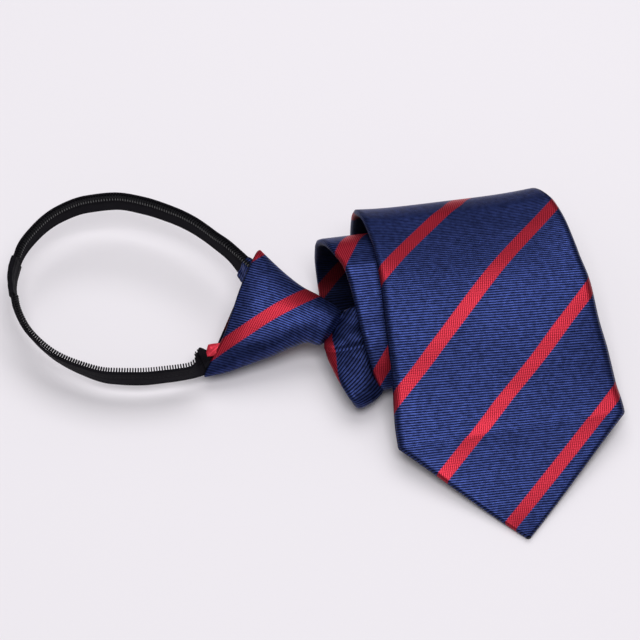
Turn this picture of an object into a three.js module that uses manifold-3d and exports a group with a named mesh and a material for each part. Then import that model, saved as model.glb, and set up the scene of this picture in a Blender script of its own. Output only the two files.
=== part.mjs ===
// A zipper tie lying on a table: the striped blade wound into a loose roll, the ready-made knot,
// and the neck loop of two zip tapes that meet in a sleeve behind the neck.
// Millimetres, +Z up, +X to the right along the roll, +Y away from the tip.
// The tables below are laid out from a point on the table just under the knot's narrow end.

import * as THREE from 'three';
import { mergeVertices } from 'three/addons/utils/BufferGeometryUtils.js';
import Module from 'manifold-3d';

const wasm = await Module();
wasm.setup();

// Sizes of the blade and its roll
const bladeWidth = 80;      // across the two lower corners
const bladeThick = 2.4;     // folded silk with its interlining
const tipLength = 38.5;     // from the tip up to the corners
const rollHeight = 38.4;     // table to the top of the roll
const rollDepth = 64;       // front to back of the roll
const wrapGap = 0.5;        // between two turns that lie on each other
const gatherThick = 4.6;    // the blade where it is bunched into the knot

// Sizes of the knot
const knotWidth = 47.5;     // across the wide mouth
const knotLength = 41;      // mouth to narrow end
const knotWall = 1.6;       // cloth wrapped round the padding
const knotFront = 6.6;      // how far the face stands out of the outline
const knotBack = 10;        // how far the back does
const knotLift = 15;        // middle of the mouth above the table
const mouthAway = 0.74;     // middle of the mouth from the layout's point, in shares of the length
const mouthShift = 0.145;   // and towards the tip, in shares of the width
const knotTilt = 26.5;      // degrees that the face leans towards the tip
const knotTurn = -10;       // degrees that the knot points towards the tip
const knotDip = -3.3;       // degrees that its narrow end drops
const mouthDepth = 13;      // hollow at the mouth, in front of the padding
const paddingShare = 0.72;  // how far down the knot the padding reaches
const squareness = 0.9;     // below 1 the section is a little fuller than an ellipse
const rimBow = 0.5;         // how far the rim of the mouth bows out towards the loop

// Sizes of the neck loop
const loopLength = 77.4;    // knot to the back of the neck
const loopBreadth = 67.2;   // front half to back half
const loopRise = 10;        // how much higher the back half lies
const loopFloor = 5;        // front half above the table
const tapeWidth = 9.5;      // height of the upright tape
const tapeThick = 0.8;
const coilHeight = 1.5;     // along the tape
const coilReach = 1.7;      // into the loop
const coilInset = 0.7;      // below the tape's upper edge
const sleeveLength = 14.5;
const sleeveWall = 0.6;
const cuffLength = 4.5;
const cuffWall = 0.5;
const sliderLength = 9;
const sliderWidth = 8.5;
const sliderThick = 4.4;
const sliderShare = 0.27;   // its tail from the mouth, in shares of the knot's length
const cornerFoldLength = 7;
const cornerFoldWidth = 6;
const cornerFoldThick = 3;
const foldAway = 0.16;      // out of the mouth, in shares of the knot's length
const foldShift = 0.29;     // towards the tip, in shares of its width
const foldGap = 0.2;        // over the tape, beside the usual gap

const fit = 0.3;            // gap between pieces that touch

const navy = 0x23305f;
const black = 0x131216;
const red = 0xc22034;

const silk = new THREE.MeshStandardMaterial({ color: navy, roughness: 0.6, metalness: 0 });
const redSilk = new THREE.MeshStandardMaterial({ color: red, roughness: 0.6, metalness: 0 });
const padding = new THREE.MeshStandardMaterial({ color: 0xd8d4cc, roughness: 0.9, metalness: 0 });
const zipCloth = new THREE.MeshStandardMaterial({ color: black, roughness: 0.7, metalness: 0 });
const zipNylon = new THREE.MeshStandardMaterial({ color: 0x1c1b20, roughness: 0.4, metalness: 0 });

const degree = Math.PI / 180;
const tie = new THREE.Group();

// Values between the rows of a table, without overshoot, so that a flat stretch stays flat.
// The first straight spans are straight lines.
function between(rows, place, straight = 0) {
  const first = Math.min(Math.floor(place), rows.length - 2);
  const share = place - first;
  const slope = (key, row) => {
    if (row === 0 || row === rows.length - 1) return 0;
    const before = rows[row][key] - rows[row - 1][key];
    const after = rows[row + 1][key] - rows[row][key];
    return before * after <= 0 ? 0 : 2 * before * after / (before + after);
  };
  const value = {};
  for (const key of Object.keys(rows[0])) {
    const start = rows[first][key];
    const end = rows[first + 1][key];
    if (first < straight) {
      value[key] = start + (end - start) * share;
      continue;
    }
    const rise = share * share * (3 - 2 * share);
    const leave = slope(key, first) * share * (1 - share) * (1 - share);
    const arrive = slope(key, first + 1) * share * share * (1 - share);
    value[key] = start + (end - start) * rise + leave - arrive;
  }
  return value;
}

// One closed solid through rings of points that all have the same number of points
function loft(rings) {
  const around = rings[0].length;
  const corners = [];
  const faces = [];
  for (const ring of rings) {
    for (const point of ring) corners.push(point.x, point.y, point.z);
  }
  for (let row = 0; row < rings.length - 1; row += 1) {
    for (let step = 0; step < around; step += 1) {
      const a = row * around + step;
      const b = row * around + (step + 1) % around;
      faces.push(a, b, b + around, a, b + around, a + around);
    }
  }
  const last = (rings.length - 1) * around;
  for (let step = 1; step < around - 1; step += 1) {
    faces.push(0, step + 1, step);
    faces.push(last, last + step, last + step + 1);
  }
  return outward(corners, faces);
}

// A tube with a wall, open at both ends, from outer and inner rings
function hollowLoft(outerRings, innerRings) {
  const around = outerRings[0].length;
  const corners = [];
  const faces = [];
  for (const ring of [...outerRings, ...innerRings]) {
    for (const point of ring) corners.push(point.x, point.y, point.z);
  }
  const inner = outerRings.length * around;
  const last = (outerRings.length - 1) * around;
  for (let step = 0; step < around; step += 1) {
    const next = (step + 1) % around;
    for (let row = 0; row < last; row += around) {
      const a = row + step;
      const b = row + next;
      faces.push(a, b, b + around, a, b + around, a + around);
      faces.push(inner + a, inner + b + around, inner + b);
      faces.push(inner + a, inner + a + around, inner + b + around);
    }
    faces.push(step, inner + step, inner + next, step, inner + next, next);
    faces.push(last + step, last + next, inner + last + next);
    faces.push(last + step, inner + last + next, inner + last + step);
  }
  return outward(corners, faces);
}

// A geometry whose faces point out
function outward(corners, faces) {
  let volume = 0;
  const at = (index) => new THREE.Vector3().fromArray(corners, 3 * index);
  for (let face = 0; face < faces.length; face += 3) {
    volume += at(faces[face]).dot(at(faces[face + 1]).cross(at(faces[face + 2])));
  }
  const index = volume > 0 ? faces : faces.slice().reverse();
  const geometry = new THREE.BufferGeometry();
  geometry.setAttribute('position', new THREE.Float32BufferAttribute(corners, 3));
  geometry.setIndex(index);
  geometry.computeVertexNormals();
  return geometry;
}

function solid(geometry) {
  const bare = geometry.clone();
  bare.deleteAttribute('normal');
  const merged = mergeVertices(bare);
  const vertProperties = merged.attributes.position.array;
  const triVerts = new Uint32Array(merged.index.array);
  return new wasm.Manifold(new wasm.Mesh({ numProp: 3, vertProperties, triVerts }));
}

// The largest piece that is left of a geometry when another is cut out of it
function cut(geometry, cutter) {
  const pieces = solid(geometry).subtract(solid(cutter)).decompose();
  pieces.sort((a, b) => b.volume() - a.volume());
  const mesh = pieces[0].getMesh();
  const result = new THREE.BufferGeometry();
  result.setAttribute('position', new THREE.BufferAttribute(mesh.vertProperties, 3));
  result.setIndex(new THREE.BufferAttribute(mesh.triVerts, 1));
  result.computeVertexNormals();
  return result;
}

function add(name, geometry, material) {
  const mesh = new THREE.Mesh(geometry, material);
  mesh.name = name;
  tie.add(mesh);
}

function direction(yaw, pitch) {
  return new THREE.Vector3(1, 0, 0).applyEuler(new THREE.Euler(0, -pitch * degree, yaw * degree, 'ZYX'));
}

function along(start, ...moves) {
  const point = start.clone();
  for (const [axis, distance] of moves) point.addScaledVector(axis, distance);
  return point;
}

// The knot's own axes: down its length, across its mouth, and out of its face
const knotAxis = direction(knotTurn, knotDip);
const knotFace = new THREE.Vector3(0, -Math.sin(knotTilt * degree), Math.cos(knotTilt * degree));
knotFace.addScaledVector(knotAxis, -knotFace.dot(knotAxis)).normalize();
const knotAcross = new THREE.Vector3().crossVectors(knotFace, knotAxis);
const knotMouth = new THREE.Vector3(-mouthAway * knotLength, -mouthShift * knotWidth, knotLift);

// A point of the knot's own frame: along its axis from the mouth, across, and out of its face
function inKnot(length, across, out) {
  return along(knotMouth, [knotAxis, length], [knotAcross, across], [knotFace, out]);
}

// Outline of the knot: how far along and out its near and far edges lie, in shares of its length and its
// half width, and how full its face and back are
const knotRows = [
  { nearAlong: -0.13, nearOut: 1.00, farAlong: 0.13, farOut: 1.00, face: 0.70, back: 0.62 },
  { nearAlong: 0.04, nearOut: 0.88, farAlong: 0.26, farOut: 0.85, face: 0.95, back: 0.85 },
  { nearAlong: 0.22, nearOut: 0.71, farAlong: 0.41, farOut: 0.69, face: 1.00, back: 1.00 },
  { nearAlong: 0.40, nearOut: 0.56, farAlong: 0.55, farOut: 0.57, face: 1.00, back: 0.98 },
  { nearAlong: 0.55, nearOut: 0.41, farAlong: 0.68, farOut: 0.50, face: 0.96, back: 0.88 },
  { nearAlong: 0.68, nearOut: 0.31, farAlong: 0.80, farOut: 0.42, face: 0.86, back: 0.72 },
  { nearAlong: 0.79, nearOut: 0.28, farAlong: 0.92, farOut: 0.32, face: 0.66, back: 0.55 },
];

// A point of the knot: place along its rows, angle round it from the far edge over the face, and depth
// into the wall
function knotPoint(place, angle, depth) {
  const row = between(knotRows, place);
  const near = inKnot(row.nearAlong * knotLength, -row.nearOut * knotWidth / 2, 0);
  const far = inKnot(row.farAlong * knotLength, row.farOut * knotWidth / 2, 0);
  const middle = near.clone().lerp(far, 0.5);
  const half = near.distanceTo(far) / 2 - depth;
  const across = far.clone().sub(near).normalize();
  const fullness = Math.sin(angle) > 0 ? row.face * knotFront : row.back * knotBack;
  const reach = Math.sign(Math.cos(angle)) * Math.abs(Math.cos(angle)) ** squareness * half;
  const rise = Math.sin(angle) * (fullness - depth);
  const bow = rimBow * Math.max(1 - place, 0) * Math.abs(Math.sin(angle));
  return along(middle, [across, reach], [knotFace, rise], [knotAxis, -bow]);
}

function knotRing(place, depth) {
  const sides = 20;
  return Array.from({ length: sides }, (_, step) => knotPoint(place, 2 * Math.PI * step / sides, depth));
}

const knotSteps = 12;
const knotEnd = knotRows.length - 1;
const knotPlaces = Array.from({ length: knotSteps + 1 }, (_, step) => step / knotSteps * knotEnd);
const wrapOuter = knotPlaces.map((place) => knotRing(place, 0));
const wrapInner = knotPlaces.map((place) => knotRing(place, knotWall));
add('knot_wrap', hollowLoft(wrapOuter, wrapInner), silk);

// The room that the wrap takes, with a gap all round: whatever passes through the mouth or the narrow end is
// trimmed to it
function roomRing(place, depth) {
  const beyond = place === 0 ? -fit : place === knotEnd ? fit : 0;
  return knotRing(place, depth).map((point) => along(point, [knotAxis, beyond]));
}
const roomOuter = knotPlaces.map((place) => roomRing(place, -fit));
const roomInner = knotPlaces.map((place) => roomRing(place, knotWall + fit));
const wrapRoom = hollowLoft(roomOuter, roomInner);

// The blade from its tip to the knot. Each row is one line across the blade, given by its left end:
// side and back in shares of the blade's width and the roll's depth, up in shares of the roll's height,
// layer as turns that lie beneath it, wide in shares of the blade's width, thick in shares of its thickness,
// yaw and pitch in degrees of the line itself.
const gather = gatherThick / bladeThick;
const bladeRows = [
  { side: 0.334, back: -0.891, up: 0.185, layer: 0, wide: 1.00, thick: 1, yaw: 10.5, pitch: 0 },
  { side: 0.316, back: -0.722, up: 0.310, layer: 0, wide: 0.955, thick: 1, yaw: 10, pitch: 0 },
  { side: 0.310, back: -0.564, up: 0.460, layer: 0, wide: 0.925, thick: 1, yaw: 9.5, pitch: 0 },
  { side: 0.293, back: -0.416, up: 0.620, layer: 0, wide: 0.91, thick: 1, yaw: 9.5, pitch: 0 },
  { side: 0.271, back: -0.228, up: 0.800, layer: 0, wide: 0.90, thick: 1, yaw: 9, pitch: 0 },
  { side: 0.257, back: -0.078, up: 0.905, layer: 0, wide: 0.875, thick: 1, yaw: 9, pitch: 0 },
  { side: 0.241, back: 0.030, up: 0.962, layer: 0, wide: 0.855, thick: 1, yaw: 8.5, pitch: 0 },
  { side: 0.220, back: 0.148, up: 0.995, layer: 0, wide: 0.835, thick: 1, yaw: 8.5, pitch: 0 },
  { side: 0.195, back: 0.255, up: 1.000, layer: 0, wide: 0.815, thick: 1, yaw: 8.5, pitch: 0 },
  { side: 0.168, back: 0.352, up: 0.915, layer: 0, wide: 0.79, thick: 1, yaw: 8.5, pitch: 0 },
  { side: 0.150, back: 0.395, up: 0.740, layer: 0, wide: 0.78, thick: 1, yaw: 8.5, pitch: 0 },
  { side: 0.140, back: 0.398, up: 0.420, layer: 0, wide: 0.765, thick: 1, yaw: 8.5, pitch: 0 },
  { side: 0.138, back: 0.352, up: 0.130, layer: 0, wide: 0.75, thick: 1, yaw: 8.5, pitch: 0 },
  { side: 0.145, back: 0.240, up: 0.000, layer: 0, wide: 0.74, thick: 1, yaw: 8.5, pitch: 0 },
  { side: 0.162, back: 0.100, up: 0.000, layer: 0, wide: 0.73, thick: 1, yaw: 9, pitch: 0 },
  { side: 0.192, back: -0.130, up: 0.000, layer: 0, wide: 0.71, thick: 1, yaw: 11, pitch: 0 },
  { side: 0.230, back: -0.350, up: 0.000, layer: 0, wide: 0.69, thick: 1, yaw: 13, pitch: 0 },
  { side: 0.249, back: -0.455, up: 0.055, layer: 0, wide: 0.68, thick: 1, yaw: 14, pitch: 0 },
  { side: 0.252, back: -0.506, up: 0.190, layer: 0, wide: 0.67, thick: 1, yaw: 14, pitch: 0 },
  { side: 0.230, back: -0.470, up: 0.330, layer: 0, wide: 0.66, thick: 1, yaw: 14, pitch: 0 },
  { side: 0.199, back: -0.375, up: 0.490, layer: 0, wide: 0.655, thick: 1, yaw: 13, pitch: 0 },
  { side: 0.164, back: -0.235, up: 0.640, layer: 0, wide: 0.645, thick: 1, yaw: 12, pitch: 0 },
  { side: 0.131, back: -0.080, up: 0.850, layer: -1, wide: 0.64, thick: 1, yaw: 11, pitch: 0 },
  { side: 0.095, back: 0.035, up: 0.945, layer: -1, wide: 0.63, thick: 1, yaw: 10, pitch: 0 },
  { side: 0.045, back: 0.125, up: 0.950, layer: -1, wide: 0.625, thick: 1, yaw: 9.5, pitch: 0 },
  { side: 0.005, back: 0.205, up: 0.870, layer: -1, wide: 0.62, thick: 1, yaw: 9, pitch: 0 },
  { side: -0.018, back: 0.245, up: 0.700, layer: -1, wide: 0.61, thick: 1, yaw: 9, pitch: 0 },
  { side: -0.010, back: 0.240, up: 0.430, layer: 0, wide: 0.60, thick: 1, yaw: 9, pitch: 0 },
  { side: 0.000, back: 0.190, up: 0.150, layer: 1, wide: 0.59, thick: 1, yaw: 9, pitch: 0 },
  { side: 0.010, back: 0.090, up: 0.015, layer: 1, wide: 0.58, thick: 1, yaw: 11, pitch: 0 },
  { side: 0.025, back: -0.110, up: 0.000, layer: 1, wide: 0.56, thick: 1, yaw: 24, pitch: 0 },
  { side: 0.070, back: -0.340, up: 0.000, layer: 1, wide: 0.54, thick: 1, yaw: 44, pitch: 0 },
  { side: 0.133, back: -0.550, up: 0.005, layer: 1, wide: 0.52, thick: 1, yaw: 60, pitch: 0 },
  { side: 0.158, back: -0.620, up: 0.070, layer: 1, wide: 0.51, thick: 1, yaw: 62, pitch: 1 },
  { side: 0.136, back: -0.606, up: 0.145, layer: 1, wide: 0.49, thick: 1, yaw: 61, pitch: 4 },
  { side: 0.098, back: -0.535, up: 0.175, layer: 1, wide: 0.44, thick: 1.1, yaw: 59, pitch: 10 },
  { side: 0.057, back: -0.425, up: 0.180, layer: 1, wide: 0.35, thick: 1.3, yaw: 57, pitch: 17 },
  { side: 0.031, back: -0.330, up: 0.175, layer: 1, wide: 0.25, thick: 1.6, yaw: 56, pitch: 24 },
  { side: 0.038, back: -0.264, up: 0.178, layer: 1, wide: 0.165, thick: gather, yaw: 56, pitch: 26 },
  { side: 0.014, back: -0.238, up: 0.184, layer: 1, wide: 0.118, thick: gather, yaw: 60, pitch: 26 },
  { side: -0.042, back: -0.224, up: 0.188, layer: 1, wide: 0.118, thick: gather, yaw: 62, pitch: 26 },
];

// The tip comes first: as far in front of the middle of the corners as it is long, turned a little
const tipTurn = 6.5;
const tipWide = 0.02;
const corners = bladeRows[0];
const tipSide = corners.side * bladeWidth + bladeWidth / 2 * Math.cos(corners.yaw * degree)
  + tipLength * Math.sin(tipTurn * degree);
const tipBack = corners.back * rollDepth + bladeWidth / 2 * Math.sin(corners.yaw * degree)
  - tipLength * Math.cos(tipTurn * degree);
bladeRows.unshift({ ...corners, side: tipSide / bladeWidth, back: tipBack / rollDepth, up: 0, wide: tipWide });

function bladeLine(place) {
  const row = between(bladeRows, place, 1);
  const height = bladeThick / 2 + row.up * (rollHeight - bladeThick) + row.layer * (bladeThick + wrapGap);
  const left = new THREE.Vector3(row.side * bladeWidth, row.back * rollDepth, height);
  const right = along(left, [direction(row.yaw, row.pitch), row.wide * bladeWidth]);
  return { left, right, thick: row.thick * bladeThick };
}

function bladeRing(place) {
  const nudge = 0.02;
  const line = bladeLine(place);
  const before = bladeLine(Math.max(place - nudge, 0));
  const after = bladeLine(Math.min(place + nudge, bladeRows.length - 1));
  const across = line.right.clone().sub(line.left).normalize();
  const onward = after.left.add(after.right).sub(before.left).sub(before.right);
  const face = new THREE.Vector3().crossVectors(across, onward).normalize();
  const half = line.thick / 2;
  const rim = Math.min(half, line.left.distanceTo(line.right) / 4);
  const middle = line.left.clone().lerp(line.right, 0.5);
  return [
    line.left,
    along(line.left, [across, rim], [face, half]),
    along(middle, [face, half]),
    along(line.right, [across, -rim], [face, half]),
    line.right,
    along(line.right, [across, -rim], [face, -half]),
    along(middle, [face, -half]),
    along(line.left, [across, rim], [face, -half]),
  ];
}

const bladeSteps = 3 * (bladeRows.length - 1);
const bladeRings = [];
for (let step = 0; step <= bladeSteps; step += 1) {
  bladeRings.push(bladeRing(step / bladeSteps * (bladeRows.length - 1)));
}
add('tie_blade', cut(loft(bladeRings), wrapRoom), silk);

// Lower edge of the loop from the front mouth of the knot round to the back one: away from the knot and to
// the back in shares of the loop's length and breadth, rise in shares of the loop's rise, and the lean of the
// tape out of the loop, in degrees
const loopRows = [
  { away: -0.050, across: -0.162, rise: 0.46, lean: -68 },
  { away: 0.010, across: -0.210, rise: 0.27, lean: -66 },
  { away: 0.105, across: -0.268, rise: 0.05, lean: -50 },
  { away: 0.150, across: -0.288, rise: 0.00, lean: -30 },
  { away: 0.195, across: -0.304, rise: 0.00, lean: -12 },
  { away: 0.290, across: -0.328, rise: 0.00, lean: 4 },
  { away: 0.415, across: -0.345, rise: 0.00, lean: 5 },
  { away: 0.545, across: -0.330, rise: 0.00, lean: 5 },
  { away: 0.680, across: -0.275, rise: 0.03, lean: 5 },
  { away: 0.805, across: -0.188, rise: 0.10, lean: 5 },
  { away: 0.900, across: -0.075, rise: 0.20, lean: 5 },
  { away: 0.963, across: 0.060, rise: 0.33, lean: 5 },
  { away: 0.986, across: 0.205, rise: 0.48, lean: 5 },
  { away: 0.966, across: 0.350, rise: 0.64, lean: 5 },
  { away: 0.900, across: 0.475, rise: 0.78, lean: 5 },
  { away: 0.798, across: 0.573, rise: 0.88, lean: 5 },
  { away: 0.675, across: 0.637, rise: 0.95, lean: 5 },
  { away: 0.540, across: 0.652, rise: 1.00, lean: 5 },
  { away: 0.415, across: 0.622, rise: 1.00, lean: 6 },
  { away: 0.300, across: 0.580, rise: 1.00, lean: 6 },
  { away: 0.195, across: 0.518, rise: 1.00, lean: 7 },
  { away: 0.095, across: 0.425, rise: 0.98, lean: 7 },
  { away: 0.018, across: 0.316, rise: 0.96, lean: 12 },
  { away: -0.048, across: 0.192, rise: 0.95, lean: 26 },
  { away: -0.102, across: 0.085, rise: 0.96, lean: 38 },
];

function loopEdge(place) {
  const row = between(loopRows, place);
  const x = knotMouth.x - row.away * loopLength;
  const y = knotMouth.y + row.across * loopBreadth;
  return new THREE.Vector3(x, y, loopFloor + row.rise * loopRise);
}

// The tape's axes at a place on the loop: onward, up along the tape, and into the loop
function loopAxes(place) {
  const nudge = 0.05;
  const next = loopEdge(Math.min(place + nudge, loopRows.length - 1));
  const onward = next.sub(loopEdge(Math.max(place - nudge, 0)));
  const level = new THREE.Vector3(onward.x, onward.y, 0).normalize();
  const outwards = new THREE.Vector3(-level.y, level.x, 0);
  const lean = between(loopRows, place).lean * degree;
  const up = new THREE.Vector3(0, 0, Math.cos(lean)).addScaledVector(outwards, Math.sin(lean));
  onward.normalize();
  const inwards = new THREE.Vector3().crossVectors(onward, up).normalize();
  return { onward, up: new THREE.Vector3().crossVectors(inwards, onward).normalize(), inwards };
}

// A rectangle across the loop: from low to high along the tape and from outside to inside through it
function loopRing(place, low, high, outside, inside) {
  const edge = loopEdge(place);
  const { up, inwards } = loopAxes(place);
  return [
    along(edge, [up, low], [inwards, outside]),
    along(edge, [up, high], [inwards, outside]),
    along(edge, [up, high], [inwards, inside]),
    along(edge, [up, low], [inwards, inside]),
  ];
}

// A band along the loop from the knot's end to its far end, with the same cross sections as its neighbours
function loopBand(start, end, low, high, outside, inside) {
  const stride = 0.2 * Math.sign(end - start);
  const steps = Math.floor((end - start) / stride);
  const rings = [];
  for (let step = 0; step <= steps; step += 1) {
    rings.push(loopRing(start + step * stride, low, high, outside, inside));
  }
  rings.push(loopRing(end, low, high, outside, inside));
  return loft(rings);
}

function loopSleeve(start, end, steps, wall, roomOutside, roomInside) {
  const outer = [];
  const inner = [];
  for (let step = 0; step <= steps; step += 1) {
    const place = THREE.MathUtils.lerp(start, end, step / steps);
    const outside = -roomOutside - fit;
    const inside = roomInside + fit;
    outer.push(loopRing(place, -fit - wall, tapeWidth + fit + wall, outside - wall, inside + wall));
    inner.push(loopRing(place, -fit, tapeWidth + fit, outside, inside));
  }
  return hollowLoft(outer, inner);
}

// The place on the loop that lies a distance from another, measured along its lower edge
function placeAt(start, distance) {
  const stride = 0.02 * Math.sign(distance);
  let place = start;
  let left = Math.abs(distance);
  while (left > 0) {
    const next = place + stride;
    left -= loopEdge(next).distanceTo(loopEdge(place));
    place = next;
  }
  return place;
}

const frontEnd = 0.35;
const backEnd = loopRows.length - 1.35;
const joinPlace = 12.1;
const frontMouth = 1.75;
const backMouth = loopRows.length - 2.05;
const halfTape = tapeThick / 2;
const coilLow = tapeWidth - coilInset - coilHeight;
const coilHigh = tapeWidth - coilInset;
const coilOutside = halfTape + fit;
const coilInside = halfTape + fit + coilReach;
const sleeveStart = placeAt(joinPlace, -sleeveLength / 2);
const sleeveEnd = placeAt(joinPlace, sleeveLength / 2);

const tape = (start, end) => cut(loopBand(start, end, 0, tapeWidth, -halfTape, halfTape), wrapRoom);
const coil = (start, end) => cut(loopBand(start, end, coilLow, coilHigh, coilOutside, coilInside), wrapRoom);
add('zip_tape_front', tape(frontEnd, placeAt(joinPlace, -fit / 2)), zipCloth);
add('zip_tape_back', tape(backEnd, placeAt(joinPlace, fit / 2)), zipCloth);
add('zip_coil_front', coil(frontEnd, placeAt(sleeveStart, -fit)), zipNylon);
add('zip_coil_back', coil(backEnd, placeAt(sleeveEnd, fit)), zipNylon);
add('join_sleeve', loopSleeve(sleeveStart, sleeveEnd, 6, sleeveWall, halfTape, halfTape), zipCloth);

// Cuffs where the tapes enter the knot, round the tape and its coil
const cuff = (start, end) => cut(loopSleeve(start, end, 8, cuffWall, halfTape, coilInside), wrapRoom);
add('front_cuff', cuff(frontMouth, placeAt(frontMouth, cuffLength)), zipCloth);
add('back_cuff', cuff(placeAt(backMouth, -cuffLength), backMouth), silk);

// Small fold of cloth that shows at the lower corner of the mouth, over the front tape. Place along it, and
// how wide and thick it is there in shares of its sizes
const foldRows = [
  { along: 0.00, wide: 0.35, thick: 0.30 },
  { along: 0.12, wide: 0.80, thick: 0.80 },
  { along: 0.35, wide: 1.00, thick: 1.00 },
  { along: 0.65, wide: 0.90, thick: 0.60 },
  { along: 1.00, wide: 0.60, thick: 0.35 },
];
const foldSides = 10;
const foldStart = -foldAway * knotLength;
const foldAcross = -foldShift * knotWidth;
const foldFloor = tapeThick / 2 + fit + foldGap;
const foldRings = foldRows.map((row) => Array.from({ length: foldSides }, (_, step) => {
  const angle = 2 * Math.PI * step / foldSides;
  const across = foldAcross + row.wide * cornerFoldWidth / 2 * Math.cos(angle);
  const out = foldFloor + row.thick * cornerFoldThick / 2 * (1 + Math.sin(angle));
  return inKnot(foldStart + row.along * cornerFoldLength, across, out);
}));
const tapeRoom = loopBand(frontEnd, frontMouth, -fit, tapeWidth + fit, -halfTape - fit, halfTape + fit);
add('corner_fold', cut(cut(loft(foldRings), wrapRoom), tapeRoom), redSilk);

// Slider between the two tapes, in front of the padding: shoulders towards the loop, narrower at its tail
const sliderRows = [
  { along: 0.00, wide: 0.55 },
  { along: 0.18, wide: 1.00 },
  { along: 0.50, wide: 0.95 },
  { along: 1.00, wide: 0.62 },
];
const sliderSeat = sliderShare * knotLength;
function sliderBody(room) {
  const corners = [[-1, -1], [1, -1], [1, 1], [-1, 1]];
  const rings = sliderRows.map((row) => corners.map(([side, face]) => {
    const length = sliderSeat - (sliderLength + 2 * room) * (1 - row.along) + room;
    const across = side * (row.wide * sliderWidth / 2 + room);
    return inKnot(length, across, face * (sliderThick / 2 + room));
  }));
  return loft(rings);
}
add('zip_slider', sliderBody(0), zipNylon);

// Padding between the hollow at the mouth and the bunched blade at the narrow end, with room for the slider
const coreStart = mouthDepth / knotLength * knotEnd;
const coreEnd = paddingShare * knotEnd;
const coreSteps = 5;
const coreRings = [];
for (let step = 0; step <= coreSteps; step += 1) {
  coreRings.push(knotRing(THREE.MathUtils.lerp(coreStart, coreEnd, step / coreSteps), knotWall + fit));
}
add('knot_core', cut(loft(coreRings), sliderBody(fit)), padding);

// The object stands with the middle of its box over the origin and its lowest point on the table
const box = new THREE.Box3().setFromObject(tie);
const centre = box.getCenter(new THREE.Vector3());
tie.position.set(-centre.x, -centre.y, -box.min.z);

export default tie;
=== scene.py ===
# A rolled zipper tie on a pale surface: striped repp silk, a padded knot and a neck loop of zip tape.
# Metres, +Z up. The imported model, loaded first, fixes every size and place.
import math

import bmesh
import bpy
from mathutils import Matrix, Vector, noise


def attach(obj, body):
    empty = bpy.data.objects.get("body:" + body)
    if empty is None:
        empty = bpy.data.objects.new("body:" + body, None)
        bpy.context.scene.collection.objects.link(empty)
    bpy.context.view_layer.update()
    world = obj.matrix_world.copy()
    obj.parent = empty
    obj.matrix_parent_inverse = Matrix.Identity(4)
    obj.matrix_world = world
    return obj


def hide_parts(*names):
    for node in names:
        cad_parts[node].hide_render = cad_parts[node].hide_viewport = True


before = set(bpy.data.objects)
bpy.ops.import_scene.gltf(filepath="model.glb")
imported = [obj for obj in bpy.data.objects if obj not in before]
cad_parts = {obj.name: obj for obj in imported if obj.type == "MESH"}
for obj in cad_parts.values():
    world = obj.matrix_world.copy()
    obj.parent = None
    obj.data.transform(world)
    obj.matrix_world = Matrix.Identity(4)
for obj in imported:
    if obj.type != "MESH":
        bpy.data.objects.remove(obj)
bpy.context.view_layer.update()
mm = 0.001
print("frame loaded:", ", ".join(sorted(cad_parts)))

# Camera at the photograph's angle: along +Y and down
view = {"elevation": 58, "distance": 1.1, "lens": 175.1, "aim": (0.00177, 0.02499, 0.0)}

cameraData = bpy.data.cameras.new("camera")
cameraData.lens = view["lens"]
cameraData.sensor_width = 36
cameraData.clip_end = 10
camera = bpy.data.objects.new("camera", cameraData)
bpy.context.collection.objects.link(camera)
tilt = math.radians(view["elevation"])
camera.location = Vector(view["aim"]) + view["distance"] * Vector((0, -math.cos(tilt), math.sin(tilt)))
camera.rotation_euler = (math.pi / 2 - tilt, 0, 0)
bpy.context.scene.camera = camera
bpy.context.scene.view_settings.view_transform = "Standard"
print("camera set")


# Shader maths written as expressions
class Value:
    def __init__(self, maker, socket):
        self.maker = maker
        self.socket = socket

    def combine(self, operation, *others, clamp=False):
        settings = {"operation": operation, "use_clamp": clamp}
        return self.maker.add("ShaderNodeMath", settings, self, *others)

    def __add__(self, other):
        return self.combine("ADD", other)

    def __sub__(self, other):
        return self.combine("SUBTRACT", other)

    def __mul__(self, other):
        return self.combine("MULTIPLY", other)

    def __truediv__(self, other):
        return self.combine("DIVIDE", other)

    def __rsub__(self, other):
        return (self * -1) + other

    __radd__ = __add__
    __rmul__ = __mul__

    def sine(self):
        return self.combine("SINE")

    def size(self):
        return self.combine("ABSOLUTE")

    def part(self):
        return self.combine("FRACT")

    def whole(self):
        return self.combine("FLOOR")

    def most(self, other):
        return self.combine("MAXIMUM", other)

    def clamped(self):
        return self.combine("ADD", 0, clamp=True)

    def step(self, low, high):
        settings = {"interpolation_type": "SMOOTHSTEP"}
        return self.maker.add("ShaderNodeMapRange", settings, self, low, high, 0.0, 1.0)

    # How near a repeated line is, from 0 between the lines to 1 on them
    def lines(self, pitch):
        return (self * (math.pi / pitch)).sine().size()


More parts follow.
